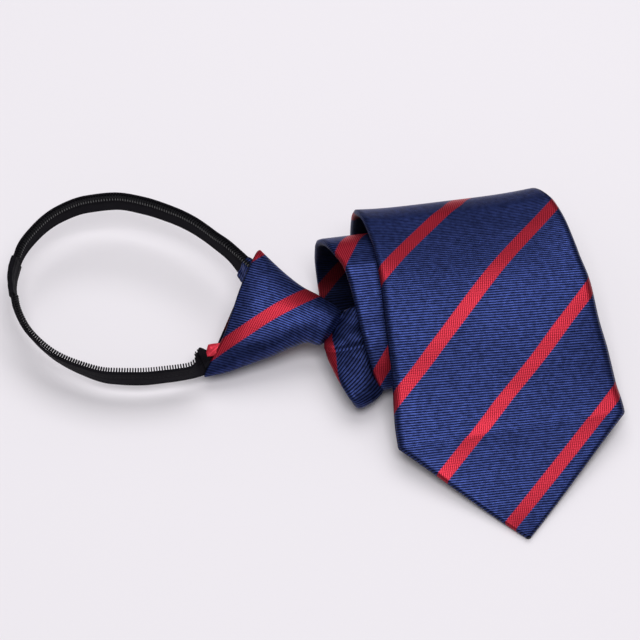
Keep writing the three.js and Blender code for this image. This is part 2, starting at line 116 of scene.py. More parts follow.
class Maker:
    def __init__(self, name):
        self.material = bpy.data.materials.new(name)
        self.material.use_nodes = True
        self.tree = self.material.node_tree
        self.shader = self.tree.nodes["Principled BSDF"]

    # One node: its type, its settings, then the values or links of its sockets
    def add(self, kind, settings, *values, output=0, **named):
        node = self.tree.nodes.new(kind)
        for key, value in settings.items():
            setattr(node, key, value)
        for key, value in [*enumerate(values), *named.items()]:
            self.feed(node.inputs[key], value)
        return Value(self, node.outputs[output])

    def feed(self, socket, value):
        if isinstance(value, Value):
            self.tree.links.new(value.socket, socket)
        else:
            socket.default_value = value

    def set(self, **values):
        for key, value in values.items():
            self.feed(self.shader.inputs[key.replace("_", " ")], value)

    # A layer of the piece's own: "flat" is the cloth laid flat; the second layer holds painted shade at its
    # rims and on its reverse, and a painted highlight on the tooth heads
    def layer(self, name, scale=1):
        uv = self.add("ShaderNodeUVMap", {"uv_map": name})
        return [self.add("ShaderNodeSeparateXYZ", {}, uv, output=axis) * scale for axis in (0, 1)]

    def point(self, *parts):
        return self.add("ShaderNodeCombineXYZ", {}, *parts)

    def noise(self, scale, detail=2.0, vector=None):
        source = self.add("ShaderNodeTexCoord", {}, output=3) if vector is None else vector
        return self.add("ShaderNodeTexNoise", {}, Vector=source, Scale=scale, Detail=detail)

    def mix(self, factor, first, second, blend="MIX"):
        settings = {"data_type": "RGBA", "blend_type": blend}
        node = self.add("ShaderNodeMix", settings, output=2)
        for index, value in ((0, factor), (6, first), (7, second)):
            self.feed(node.socket.node.inputs[index], value)
        return node

    def bump(self, height, strength, distance):
        return self.add("ShaderNodeBump", {}, Strength=strength, Distance=distance, Height=height)


def colour(red, green, blue):
    return (red, green, blue, 1)


def grey(level):
    return (level, level, level, 1)


# Repp silk: ribs across the tie and red stripes on the slant, drawn in the cloth's flat coordinates
reppSilk = {
    "ribPitch": 0.87,         # millimetres
    "ribSlant": 0.065,        # how far the ribs climb across the cloth
    "stripePitch": 40.2,      # along the cloth
    "stripeStart": 10.3,
    "stripeSlope": 0.94,      # climb of a stripe across the cloth
    "stripeHalf": 3.15,       # half its width, measured along the cloth
    "twillPitch": 0.68,
    "navy": colour(0.062, 0.098, 0.365),
    "navyDeep": colour(0.0035, 0.0055, 0.025),
    "red": colour(0.60, 0.034, 0.064),
    "redDeep": colour(0.22, 0.006, 0.012),
    "fade": (0, 1, 0),        # where the ribs grow clear, and how far they fade before that
    "thread": 0.31,           # warp threads across the ribs
    "wander": 0.5,            # how far a rib strays, in ribs
    "relief": 0.00016,        # metres
    "metallic": 0.8,
    "roughness": 0.42,
}


def makeRepp(name, spec):
    maker = Maker(name)
    across, along = maker.layer("flat", 1000)
    rim, reverse = maker.layer("paintedLight")
    wander = maker.noise(70, 2) - 0.5
    ribPlace = (along + across * spec["ribSlant"]) / spec["ribPitch"] + wander * spec["wander"]
    rib = (ribPlace * math.pi).sine().size()
    slub = maker.noise(1, 3, maker.point(across * 0.55, (ribPlace + 0.5).whole() * 5.3, 0))
    thread = across.lines(spec["thread"])
    edge = (ribPlace.part() - 0.5) * 0.45
    slant = along - across * spec["stripeSlope"] - spec["stripeStart"] + edge
    nearest = ((slant / spec["stripePitch"] + 0.5).part() - 0.5).size() * spec["stripePitch"]
    half = spec["stripeHalf"]
    stripe = 1 - nearest.step(half - 0.15, half + 0.15)
    twill = (across * 0.96 - along * 0.27).lines(spec["twillPitch"])
    fadeLow, fadeHigh, fadeShare = spec["fade"]
    faint = (1 - along.step(fadeLow, fadeHigh)) * fadeShare
    rib = rib * (1 - faint) + faint * 0.55
    lit = rib.step(0.30, 0.95) * (slub.step(0.28, 0.72) * 0.62 + 0.38) * (thread * 0.3 + 0.7)
    navy = maker.mix(lit, spec["navyDeep"], spec["navy"])
    red = maker.mix(twill.step(0.15, 0.75), spec["redDeep"], spec["red"])
    base = maker.mix(stripe, navy, red)
    patches = maker.noise(28, 3).step(0.25, 0.75)
    mottled = maker.mix(1.0, base, maker.mix(patches, grey(0.82), grey(1.0)), "MULTIPLY")
    # Painted shade multiplied into the colour: rims and neck to about 0.6, the reverse to about 0.2, for the
    # shade inside the roll and the knot; the reverse is also a duller silk
    turned = (rim * 0.42 + reverse * 0.88).clamped()
    paintedShadeColour = maker.mix(1.0, mottled, maker.mix(turned, grey(1.0), grey(0.08)), "MULTIPLY")
    relief = rib * (1 - stripe * 0.7) + twill * stripe * 0.6 + thread * 0.25
    maker.set(
        Base_Color=paintedShadeColour, Metallic=spec["metallic"], Roughness=spec["roughness"] + reverse * 0.2,
        Specular_IOR_Level=0.2, Normal=maker.bump(relief, 0.40, spec["relief"]),
    )
    return maker.material


# Knot silk: the same cloth, its ribs along the knot, with one stripe over the front and one at the peak
knotCloth = {
    **reppSilk, "stripePitch": 29.3, "stripeStart": -1.3, "stripeSlope": 0.955, "stripeHalf": 3.0,
    # its red darker than on the blade: painted shade
    "fade": (-14, 4, 0.7), "red": colour(0.50, 0.027, 0.051),
}

silk = makeRepp("reppSilk", reppSilk)
collarSilk = makeRepp("collarSilk", {**reppSilk, "stripePitch": 400, "stripeStart": 200})

zipTape = {
    "black": colour(0.0045, 0.0040, 0.0058),
    "band": colour(0.0120, 0.0110, 0.0145),
    "bandLow": 1.2,           # the lighter band's edges, up the tape
    "bandHigh": 4.6,
    "seams": (5.4, 6.6),      # where the two rows of stitches run
    "stitch": 1.5,
    "weave": 0.42,
}


def makeTapeCloth(name, spec):
    maker = Maker(name)
    across, along = maker.layer("flat", 1000)
    slant = (along + across).lines(spec["weave"])
    counter = (along - across).lines(spec["weave"])
    weave = slant.most(counter)
    overLow = across.step(spec["bandLow"] - 0.5, spec["bandLow"])
    overHigh = across.step(spec["bandHigh"], spec["bandHigh"] + 0.4)
    band = overLow * (1 - overHigh)
    dash = along.lines(spec["stitch"]).step(0.30, 0.55)
    seam = 0
    for height in spec["seams"]:
        seam = (1 - (across - height).size().step(0.10, 0.26)) * dash + seam
    dust = maker.noise(300, 3).step(0.35, 0.75)
    level = (band * 0.55 + weave * 0.25 + seam * 0.5 + dust * 0.2).clamped()
    maker.set(
        Base_Color=maker.mix(level, spec["black"], spec["band"]), Roughness=0.75 - seam * 0.1,
        Specular_IOR_Level=0.06, Normal=maker.bump(weave * 0.5 + seam, 0.5, 0.00012),
    )
    return maker.material


tapeCloth = makeTapeCloth("zipTapeCloth", zipTape)


# Plain small weaves: cuff ribbon, red satin, interlining
plainWeaves = {
    "cuffRibbon": {
        "base": colour(0.009, 0.008, 0.011), "deep": colour(0.003, 0.003, 0.004),
        "pitch": 0.4, "roughness": 0.65, "metallic": 0.0, "specular": 0.05,
    },
    "redSatin": {
        "base": colour(0.85, 0.045, 0.085), "deep": colour(0.42, 0.010, 0.022),
        "pitch": 0.35, "roughness": 0.38, "metallic": 0.5, "specular": 0.4,
    },
    "interlining": {
        "base": colour(0.60, 0.57, 0.50), "deep": colour(0.40, 0.37, 0.32),
        "pitch": 0.7, "roughness": 0.9, "metallic": 0.0, "specular": 0.15,
    },
}


def makePlain(name, spec):
    maker = Maker(name)
    across, along = maker.layer("flat", 1000)
    weave = (across.lines(spec["pitch"]) + along.lines(spec["pitch"])) * 0.5
    crease = maker.noise(420, 3).step(0.3, 0.7)
    level = (weave * 0.55 + crease * 0.45).clamped()
    maker.set(
        Base_Color=maker.mix(level, spec["deep"], spec["base"]), Roughness=spec["roughness"] - crease * 0.08,
        Metallic=spec["metallic"], Specular_IOR_Level=spec["specular"],
        Normal=maker.bump(weave + crease, 0.4, 0.00012),
    )
    return maker.material


cuffRibbon, redSatin, interlining = [makePlain(name, spec) for name, spec in plainWeaves.items()]


def makeNylon(name, base, deep, roughness, paintedHighlight=None):
    maker = Maker(name)
    grain = maker.noise(900, 2)
    scuff = maker.noise(200, 3).step(0.45, 0.75)
    paint = maker.mix((grain * 0.5 + scuff * 0.5).clamped(), deep, base)
    if paintedHighlight:                              # painted highlight: grey where the layer marks the tooth heads
        paint = maker.mix(maker.layer("paintedLight")[0], paint, paintedHighlight)
    maker.set(
        Base_Color=paint,
        Roughness=roughness + grain * 0.12, Specular_IOR_Level=0.16,
        Normal=maker.bump(grain, 0.15, 0.00005),
    )
    return maker.material


toothNylon = makeNylon(
    "toothNylon", colour(0.014, 0.013, 0.017), colour(0.004, 0.004, 0.005), 0.42, paintedHighlight=grey(0.13)
)
sliderPaint = makeNylon("sliderPaint", colour(0.026, 0.026, 0.030), colour(0.009, 0.009, 0.010), 0.28)
print("materials made")


# Values between the rows of a table, without overshoot; the first straight spans are straight lines
def between(rows, place, straight=0):
    last = len(rows) - 1
    first = max(min(int(math.floor(place)), last - 1), 0)
    share = place - first
    value = {}
    for key in rows[0]:
        start = rows[first][key]
        end = rows[first + 1][key]
        if first < straight:
            value[key] = start + (end - start) * share
            continue
        slopes = []
        for row in (first, first + 1):
            if row in (0, last):
                slopes.append(0)
                continue
            before = rows[row][key] - rows[row - 1][key]
            after = rows[row + 1][key] - rows[row][key]
            slopes.append(0 if before * after <= 0 else 2 * before * after / (before + after))
        rise = share * share * (3 - 2 * share)
        leave = slopes[0] * share * (1 - share) ** 2
        arrive = slopes[1] * share * share * (1 - share)
        value[key] = start + (end - start) * rise + leave - arrive
    return value


def table(columns, rows):
    return [dict(zip(columns.split(), row)) for row in rows]


def ease(value, low, high):
    share = min(max((value - low) / (high - low), 0), 1)
    return share * share * (3 - 2 * share)


def direction(yaw, pitch):
    turn = math.radians(yaw)
    level = math.cos(math.radians(pitch))
    return Vector((level * math.cos(turn), level * math.sin(turn), math.sin(math.radians(pitch))))


# The layout is in millimetres from its own point, which lies here in the frame
layout = Vector((1.76664, 24.98552, 0)) * mm


def toScene(point):
    return layout + point * mm


# A finished object from a bmesh, with its body and the nodes that it stands for
def finish(name, bm, material, slotName, *nodes):
    bmesh.ops.recalc_face_normals(bm, faces=bm.faces)
    for face in bm.faces:
        face.smooth = True
    mesh = bpy.data.meshes.new(name)
    bm.to_mesh(mesh)
    bm.free()
    mesh.materials.append(material)
    piece = bpy.data.objects.new(name, mesh)
    bpy.context.collection.objects.link(piece)
    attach(piece, "root")
    if nodes:
        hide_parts(*nodes)
    return piece


# A grid bent into shape: place gives each vertex its point, its place on the flat cloth, and how much painted
# shade its rims and reverse get
def bentGrid(acrossSteps, alongSteps, place):
    bm = bmesh.new()
    bmesh.ops.create_grid(bm, x_segments=acrossSteps, y_segments=alongSteps, size=0.5)
    flatLayer = bm.loops.layers.uv.new("flat")
    paintedLightLayer = bm.loops.layers.uv.new("paintedLight")
    for vert in bm.verts:
        point, flat, paintedLight = place(vert.co.x + 0.5, vert.co.y + 0.5)
        vert.co = toScene(point)
        for loop in vert.link_loops:
            loop[flatLayer].uv = (flat[0] * mm, flat[1] * mm)
            loop[paintedLightLayer].uv = paintedLight
    bmesh.ops.remove_doubles(bm, verts=bm.verts, dist=0.000002)
    return bm


def closeEnds(bm):
    bmesh.ops.holes_fill(bm, edges=[edge for edge in bm.edges if edge.is_boundary], sides=0)


# Round a flat section with rounded edges, from its back over its face: side, height, cloth, and the painted
# shade for its rims and its reverse
def section(around, halfWide, halfThick):
    rim = min(halfThick, halfWide)
    straight = halfWide - rim
    bend = math.pi * rim
    signed = 2 * around - 1
    reach = abs(signed) * (2 * straight + bend)
    if reach < straight:
        side, up = reach, rim
    elif reach < straight + bend:
        angle = (reach - straight) / rim
        side, up = straight + rim * math.sin(angle), rim * math.cos(angle)
    else:
        side, up = 2 * straight + bend - reach, -rim
    # painted shade: a band along each rim of the face, and the whole reverse
    overRim = ease(reach, straight - 0.6, straight + 0.3)
    rimShade = overRim * (1 - ease(reach, straight + bend * 0.6, straight + bend))
    reverse = ease(reach, straight + bend * 0.55, straight + bend)
    paintedLight = (rimShade, reverse)
    return math.copysign(side, signed), up * halfThick / rim, math.copysign(reach, signed), paintedLight


# Rows over a shell: along its outside, round the far lip, back along its inside and round the near lip
def shellRows(steps, wall, lipSteps=4):
    turns = [math.pi * step / (lipSteps + 1) for step in range(1, lipSteps + 1)]
    rows = [(step / steps, 0, 0) for step in range(steps + 1)]
    rows += [(1, wall / 2 * math.sin(turn), wall / 2 * (1 - math.cos(turn))) for turn in turns]
    rows += [(1 - step / steps, 0, wall) for step in range(steps + 1)]
    rows += [(0, -wall / 2 * math.sin(turn), wall / 2 * (1 + math.cos(turn))) for turn in turns]
    return rows + rows[:1]


def bentShell(aroundSteps, rows, place):
    last = len(rows) - 1
    return bentGrid(aroundSteps, last, lambda around, along: place(around, *rows[round(along * last)]))


# The blade: each row is one line across it, given by its left end; bow swells the cloth between its edges
blade = {
    "width": 80, "thick": 2.4, "tip": 38.1, "high": 38.4, "deep": 64, "gap": 0.5, "gather": 4.6,
    "tipTurn": 5.7, "tipWide": 0.02, "aroundSteps": 88, "alongSteps": 420,
    "crestStart": 85, "crestEnd": 123, "crestEase": 0.0054,   # slack cloth over the first crest
    "pleats": 2.5, "pleatShift": 0.4, "pleatDepth": 0.35, "gathered": 26, "gatherRows": 3, "bowReach": 19,
    "rippleHigh": 0.22, "rippleWide": 26, "rippleLong": 34,
    "tuckAt": 3.7, "tuckSlant": 1.97, "tuckHigh": 0.9,       # the cloth tucked under beside the knot
    "tuckRise": (-0.1, 0.15), "tuckFall": (0.4, 1.6),        # in rows from the tuck's line
    "tuckGroove": 0.5, "tuckGrooveWide": 0.13, "tuckSide": (0.2, 0.6),
}
bladeRows = table("side back up layer wide thick yaw pitch sag bow", [
    (0.334, -0.891, 0.185, 0, 0.994, 1, 10.5, 0, -1.0, 0),
    (0.316, -0.722, 0.310, 0, 0.972, 1, 10, 0, -1.4, 0),
    (0.310, -0.564, 0.460, 0, 0.945, 1, 9.5, 0, -1.5, 0),
    (0.293, -0.416, 0.620, 0, 0.922, 1, 9.5, 0, -1.3, 0),
    (0.271, -0.228, 0.800, 0, 0.905, 1, 9, 0, -0.6, 0),
    (0.257, -0.078, 0.905, 0, 0.872, 1, 9, 0, 0.4, 0),
    (0.241, 0.030, 0.962, 0, 0.858, 1, 8.5, 0, 1.4, 0),
    (0.218, 0.148, 0.995, 0, 0.846, 1, 8.5, 0, 1.8, 0),
    (0.188, 0.255, 1.000, 0, 0.834, 1, 8.5, 0, 1.8, 0),
    (0.154, 0.352, 0.915, 0, 0.808, 1, 8.5, 0, 1.3, 0),
    (0.138, 0.395, 0.740, 0, 0.79, 1, 8.5, 0, 0.5, 0),
    (0.133, 0.398, 0.420, 0, 0.77, 1, 8.5, 0, 0, 0),
    (0.138, 0.352, 0.130, 0, 0.75, 1, 8.5, 0, 0, 0),
    (0.145, 0.240, 0.000, 0, 0.74, 1, 8.5, 0, 0, 0),
    (0.162, 0.100, 0.000, 0, 0.73, 1, 9, 0, 0, 0),
    (0.192, -0.130, 0.000, 0, 0.71, 1, 11, 0, 0, 0),
    (0.230, -0.350, 0.000, 0, 0.69, 1, 13, 0, 0, 0),
    (0.249, -0.455, 0.055, 0, 0.68, 1, 14, 0, 0, 0),
    (0.252, -0.506, 0.190, 0, 0.67, 1, 14, 0, 0, 0),
    (0.230, -0.470, 0.330, 0, 0.66, 1, 14, 0, 0, 0),
    (0.199, -0.375, 0.490, 0, 0.655, 1, 13, 0, 0, 0),
    (0.164, -0.235, 0.640, 0, 0.645, 1, 12, 0, 0, 0),
    (0.131, -0.080, 0.850, -1, 0.64, 1, 11, 0, 0.2, 0),
    (0.095, 0.035, 0.945, -1, 0.63, 1, 10, 0, 0.3, 0),
    (0.045, 0.125, 0.950, -1, 0.625, 1, 9.5, 0, 0.3, 0),
    (0.005, 0.205, 0.870, -1, 0.62, 1, 9, 0, 0.2, 0),
    (-0.022, 0.245, 0.700, -1, 0.61, 1, 9, 0, 0, 0),
    (-0.024, 0.240, 0.430, 0, 0.61, 1, 9, 0, 0, 0),
    (-0.016, 0.190, 0.150, 1, 0.60, 1, 9, 0, 0, 0),
    (0.000, 0.090, 0.015, 1, 0.59, 1, 11, 0, 0, 0),
    (0.025, -0.110, 0.000, 1, 0.56, 1, 24, 0, 0, 0),
    (0.070, -0.340, 0.000, 1, 0.54, 1, 44, 0, 0, 1.5),
    (0.133, -0.550, 0.005, 1, 0.52, 1, 60, 0, 0, 3.8),
    (0.158, -0.620, 0.070, 1, 0.51, 1, 62, 1, 0, 4.0),
    (0.136, -0.606, 0.145, 1, 0.49, 1, 61, 4, 0, 2.4),
    (0.098, -0.535, 0.175, 1, 0.44, 1.1, 59, 10, 0, 1.0),
    (0.057, -0.425, 0.180, 1, 0.35, 1.3, 57, 17, 0, 0),
    (0.031, -0.330, 0.175, 1, 0.25, 1.6, 56, 24, 0, 0),
    (0.038, -0.264, 0.178, 1, 0.165, blade["gather"] / blade["thick"], 56, 26, 0, 0),
    (0.014, -0.238, 0.184, 1, 0.118, blade["gather"] / blade["thick"], 60, 26, 0, 0),
    (-0.042, -0.224, 0.188, 1, 0.118, blade["gather"] / blade["thick"], 62, 26, 0, 0),
])
corners = bladeRows[0]
turn = math.radians(corners["yaw"])
tipTurn = math.radians(blade["tipTurn"])
middleSide = corners["side"] * blade["width"] + blade["width"] / 2 * math.cos(turn)
middleBack = corners["back"] * blade["deep"] + blade["width"] / 2 * math.sin(turn)
tipPlace = {
    "side": (middleSide + blade["tip"] * math.sin(tipTurn)) / blade["width"],
    "back": (middleBack - blade["tip"] * math.cos(tipTurn)) / blade["deep"],
    "up": 0, "wide": blade["tipWide"], "sag": 0,
}
bladeRows.insert(0, {**corners, **tipPlace})
bladeLast = len(bladeRows) - 1
gatherFrom = bladeLast - 6        # the row where the cloth starts to gather into the knot


def bladeLine(place):
    row = between(bladeRows, min(max(place, 0), bladeLast), 1)
    row["up"] = between(bladeRows, min(max(place, 0), bladeLast))["up"]
    high = blade["thick"] / 2 + row["up"] * (blade["high"] - blade["thick"])
    high += row["layer"] * (blade["thick"] + blade["gap"])
    left = Vector((row["side"] * blade["width"], row["back"] * blade["deep"], high))
    right = left + direction(row["yaw"], row["pitch"]) * row["wide"] * blade["width"]
    return left, right, row


def bladeAxes(place):
    left, right, row = bladeLine(place)
    before = bladeLine(place - 0.02)
    after = bladeLine(place + 0.02)
    across = (right - left).normalized()
    face = across.cross(after[0] + after[1] - before[0] - before[1]).normalized()
    return left, right, across, face, row


# Where along a line of places each length lies, so that a grid's rows are evenly spaced
class Ruler:
    def __init__(self, pointAt, last, steps):
        self.perRow = steps
        self.lengths = [0.0]
        for step in range(1, last * steps + 1):
            stretch = pointAt(step / steps) - pointAt((step - 1) / steps)
            self.lengths.append(self.lengths[-1] + stretch.length)
        self.whole = self.lengths[-1]

    def placeAt(self, length):
        low, high = 0, len(self.lengths) - 1
        while high - low > 1:
            middle = (low + high) // 2
            if self.lengths[middle] <= length:
                low = middle
            else:
                high = middle
        share = (length - self.lengths[low]) / (self.lengths[high] - self.lengths[low])
        return (low + share) / self.perRow

    def lengthAt(self, place):
        low = min(int(place * self.perRow), len(self.lengths) - 2)
        share = place * self.perRow - low
        return self.lengths[low] * (1 - share) + self.lengths[low + 1] * share


bladeRuler = Ruler(lambda place: (bladeLine(place)[0] + bladeLine(place)[1]) / 2, bladeLast, 40)
bladeCache = {}


def bladeCloth(around, share):
    length = share * bladeRuler.whole
    if share not in bladeCache:
        place = bladeRuler.placeAt(length)
        bladeCache[share] = (place, *bladeAxes(place))
    place, left, right, across, face, row = bladeCache[share]
    width = (right - left).length
    side, up, reach, paintedLight = section(around, width / 2, row["thick"] * blade["thick"] / 2)
    edge = side / max(width / 2, 0.001)
    waved = noise.noise(Vector((side / blade["rippleWide"], length / blade["rippleLong"], 3.1)))
    ripple = blade["rippleHigh"] * waved * min(2 * width / blade["width"], 1)
    gathered = ease(place, gatherFrom, gatherFrom + blade["gatherRows"])
    pleatTurn = math.sin(math.pi * (blade["pleats"] * edge + blade["pleatShift"]))
    pleat = gathered * blade["pleatDepth"] * pleatTurn * (1 - edge * edge)
    beyondTuck = place - bladeLast + blade["tuckAt"] - 1 + blade["tuckSlant"] * (edge + 1)
    raised = ease(beyondTuck, *blade["tuckRise"]) * (1 - ease(beyondTuck, *blade["tuckFall"]))
    tuck = raised * blade["tuckHigh"]
    fromGroove = (beyondTuck - blade["tuckRise"][0]) / blade["tuckGrooveWide"]
    tuck -= blade["tuckGroove"] * math.exp(-fromGroove ** 2)
    tuck *= (1 - ease(edge, *blade["tuckSide"])) if up > 0 else 0
    swell = row["bow"] * math.sin(math.pi * min((side + width / 2) / blade["bowReach"], 1))
    outward = direction(row["yaw"] - 90, 0)
    lift = up + ripple + pleat + tuck - row["sag"] * (1 - edge ** 4)
    point = (left + right) / 2 + across * side + face * lift + outward * swell
    if gathered:
        reach *= 1 + gathered * (blade["gathered"] / max(width, 12) - 1)
    paintedLight = (max(paintedLight[0], ease(place, gatherFrom - 2, gatherFrom + 0.5)), paintedLight[1])      # painted shade on the neck, as if shaded by the roll and the knot
    slack = min(max(length - blade["crestStart"], 0), blade["crestEnd"] - blade["crestStart"])
    return point, (reach, length + blade["crestEase"] * slack * slack), paintedLight


bladeMesh = bentGrid(blade["aroundSteps"], blade["alongSteps"], bladeCloth)
closeEnds(bladeMesh)
bladePiece = finish("bladeSilk", bladeMesh, silk, "silk", "tie_blade")
bladeArea = 0
strips = 400
for strip in range(strips):
    ends = bladeLine(bladeRuler.placeAt((strip + 0.5) / strips * bladeRuler.whole))
    bladeArea += (ends[1] - ends[0]).length * bladeRuler.whole / strips * mm * mm
bladeFlat = (blade["width"] * mm, bladeRuler.whole * mm)
print("blade made,", round(bladeRuler.whole), "mm long")

# The knot: a padded wrap with a rounded hem at its mouth and its narrow end turned in
knot = {
    "wide": 47.5, "long": 41, "wall": 1.6, "front": 6.6, "back": 10, "lift": 15, "tilt": 26.5, "turn": -10,
    "dip": -3.3, "mouthAway": 0.74, "mouthShift": 0.145,
    "squareness": 0.9, "rimBow": 0.5, "dent": 1.7, "dentAt": -8, "dentWide": 12,
    "aroundSteps": 132, "alongSteps": 56, "endTurn": 1.3, "crumple": 0.25, "crumpleTurns": 3.1,
    "crumpleLong": 3.5, "clothFrom": 10, "fanFrom": 12, "fan": 0.22, "fanEase": 8,
}
knotRows = table("nearAlong nearOut farAlong farOut face back", [
    (-0.13, 0.985, 0.13, 1.00, 0.70, 0.62),
    (0.04, 0.865, 0.26, 0.85, 0.95, 0.85),
    (0.22, 0.69, 0.41, 0.69, 1.00, 1.00),
    (0.40, 0.51, 0.55, 0.57, 1.00, 0.96),
    (0.55, 0.33, 0.68, 0.50, 0.96, 0.80),
    (0.68, 0.22, 0.80, 0.42, 0.86, 0.64),
    (0.79, 0.24, 0.92, 0.32, 0.66, 0.52),
])
knotLast = len(knotRows) - 1
knotAxis = direction(knot["turn"], knot["dip"])
lean = math.radians(knot["tilt"])
knotFace = Vector((0, -math.sin(lean), math.cos(lean)))
knotFace = (knotFace - knotAxis * knotFace.dot(knotAxis)).normalized()
knotAcross = knotFace.cross(knotAxis)
knotMouth = Vector((-knot["mouthAway"] * knot["long"], -knot["mouthShift"] * knot["wide"], knot["lift"]))


def inKnot(length, across, out):
    return knotMouth + knotAxis * length + knotAcross * across + knotFace * out


def knotPoint(place, angle, depth):
    row = between(knotRows, place)
    near = inKnot(row["nearAlong"] * knot["long"], -row["nearOut"] * knot["wide"] / 2, 0)
    far = inKnot(row["farAlong"] * knot["long"], row["farOut"] * knot["wide"] / 2, 0)
    half = (near - far).length / 2 - depth
    across = (far - near).normalized()
    fullness = row["face"] * knot["front"] if math.sin(angle) > 0 else row["back"] * knot["back"]
    reach = math.copysign(abs(math.cos(angle)) ** knot["squareness"], math.cos(angle)) * half
    bow = knot["rimBow"] * max(1 - place, 0) * abs(math.sin(angle))
    middle = (near + far) / 2
    return middle + across * reach + knotFace * math.sin(angle) * (fullness - depth) - knotAxis * bow


def knotCoords(point, inner, rim):
    offset = point - knotMouth
    along = offset.dot(knotAxis)
    across = offset.dot(knotAcross)
    beyond = max(along - knot["fanFrom"], 0)
    fan = knot["fan"] * beyond ** 2 / (beyond + knot["fanEase"])       # the ribs spread to the narrow end
    return (along - knot["clothFrom"], across + fan), (rim, inner)


def knotSkin(around, share, beyond, depth):
    angle = 2 * math.pi * around
    turned = ease(share, 0.93, 1) * knot["endTurn"]
    front = max(math.sin(angle), 0)
    fromDent = (math.cos(angle) * knot["wide"] / 2 - knot["dentAt"]) / knot["dentWide"]
    dent = knot["dent"] * front ** 0.5 * math.exp(-fromDent ** 2) * (1 - share) ** 3
    turns = knot["crumpleTurns"]
    spot = Vector((turns * math.cos(angle), turns * math.sin(angle), share * knot["crumpleLong"]))
    crumple = knot["crumple"] * noise.noise(spot)
    place = share * knotLast
    point = knotPoint(place, angle, depth + turned - crumple * (1 - share)) + knotAxis * (beyond + dent)
    # the wrap's inside and its hem at the mouth carry painted shade
    inner = 1 if depth > knot["wall"] * 0.7 else 0
    (along, across), paintedLight = knotCoords(point, inner, 1 if beyond < 0 else 0)
    if math.sin(angle) < 0:       # round the back the cloth runs on from its edge
        edgePoint = knotPoint(place, 0 if math.cos(angle) > 0 else math.pi, depth)
        edgeAlong, edgeAcross = knotCoords(edgePoint, 0, 0)[0]
        across = edgeAcross + math.copysign((point - edgePoint).length, math.cos(angle))
    return point, (along, across), paintedLight


knotSilk = makeRepp("knotSilk", knotCloth)
knotMesh = bentShell(knot["aroundSteps"], shellRows(knot["alongSteps"], knot["wall"]), knotSkin)
knotPiece = finish("knotSilk", knotMesh, knotSilk, "silk", "knot_wrap")


# The padding inside: interlining rolled up, its end seen through the mouth; near and far are rows of the knot
padding = {
    "near": 2.3, "far": knotLast - 0.3, "clear": 0.9, "endShare": 0.30, "endShrink": 4.2,
    "roll": 0.18, "rolls": 2.5, "twist": 14, "spiral": 0.8, "spiralTwist": 12, "cloth": (80, 40),
}


def paddingSkin(around, share):
    angle = 2 * math.pi * around
    shrink = ease(share, padding["endShare"], 0)
    place = padding["near"] + ease(share, 0.22, 1) * (padding["far"] - padding["near"])
    roll = padding["roll"] * math.sin(padding["rolls"] * angle + shrink * padding["twist"])
    depth = knot["wall"] + padding["clear"] + roll * (1 - shrink) + shrink * padding["endShrink"]
    spiral = padding["spiral"] * shrink * math.sin(shrink * padding["spiralTwist"] + angle)
    cloth = (around * padding["cloth"][0], share * padding["cloth"][1])
    return knotPoint(place, angle, depth) + knotAxis * spiral, cloth, (0, 0)


paddingMesh = bentGrid(72, 40, paddingSkin)
closeEnds(paddingMesh)
paddingPiece = finish("knotPadding", paddingMesh, interlining, "padding", "knot_core")
print("knot made")

# The neck loop: two tapes joined at the left by a sleeve, with teeth inside their upper edge
loop = {
    "long": 77.4, "broad": 67.2, "rise": 10, "floor": 5, "tapeWide": 9.5, "tapeThick": 0.8, "fit": 0.3,
    "teethInset": 0.35, "teethHigh": 1.5, "teethReach": 1.7, "teethPitch": 0.93, "toothThick": 0.42,
    "joinPlace": 12.1, "frontEnd": 0.35, "backEnd": 1.35, "frontMouth": 1.75, "backMouth": 2.05,
    "sleeveLong": 14.5, "sleeveShort": 0.8, "sleeveWall": 0.45, "cuffLong": 4.5, "cuffWall": 0.5,
    "pinch": 0.38, "pinchReach": (-3, 1),     # the front tape gathered to enter the knot, from its cuff
    "beadAt": 0.9, "beadHigh": 0.12, "beadWide": 0.45,
    "grooveAt": 5.0, "grooveDeep": 0.10, "grooveWide": 0.22,
    "wave": 0.10, "cordHigh": 0.42, "cordThick": 0.2, "cordDrop": 0.2, "toothBevel": 0.11, "toothHead": 1.2,
}
loopRows = table("away across rise lean", [
    (-0.050, -0.162, 0.46, -68),
    (0.010, -0.210, 0.27, -66),
    (0.105, -0.268, 0.05, -36),
    (0.150, -0.288, 0.00, -6),
    (0.195, -0.301, 0.00, 8),
    (0.290, -0.323, 0.00, 6),
    (0.415, -0.339, 0.00, 5),
    (0.545, -0.330, 0.00, 8),
    (0.680, -0.275, 0.03, 14),
    (0.805, -0.188, 0.10, 19),
    (0.904, -0.075, 0.20, 18),
    (0.972, 0.060, 0.33, 10),
    (0.997, 0.205, 0.48, 5),
    (0.971, 0.350, 0.64, 5),
    (0.902, 0.476, 0.78, 5),
    (0.803, 0.577, 0.88, 5),
    (0.675, 0.637, 0.95, 5),
    (0.540, 0.652, 1.00, 5),
    (0.415, 0.622, 1.00, 6),
    (0.300, 0.572, 1.00, 6),
    (0.195, 0.506, 1.00, 7),
    (0.095, 0.414, 0.98, 7),
    (0.018, 0.322, 1.02, 12),
    (-0.048, 0.202, 1.02, 26),
    (-0.102, 0.098, 1.00, 38),
])
loopLast = len(loopRows) - 1
halfTape = loop["tapeThick"] / 2


def loopEdge(place):
    row = between(loopRows, min(max(place, 0), loopLast))
    side = knotMouth.x - row["away"] * loop["long"]
    back = knotMouth.y + row["across"] * loop["broad"]
    return Vector((side, back, loop["floor"] + row["rise"] * loop["rise"]))


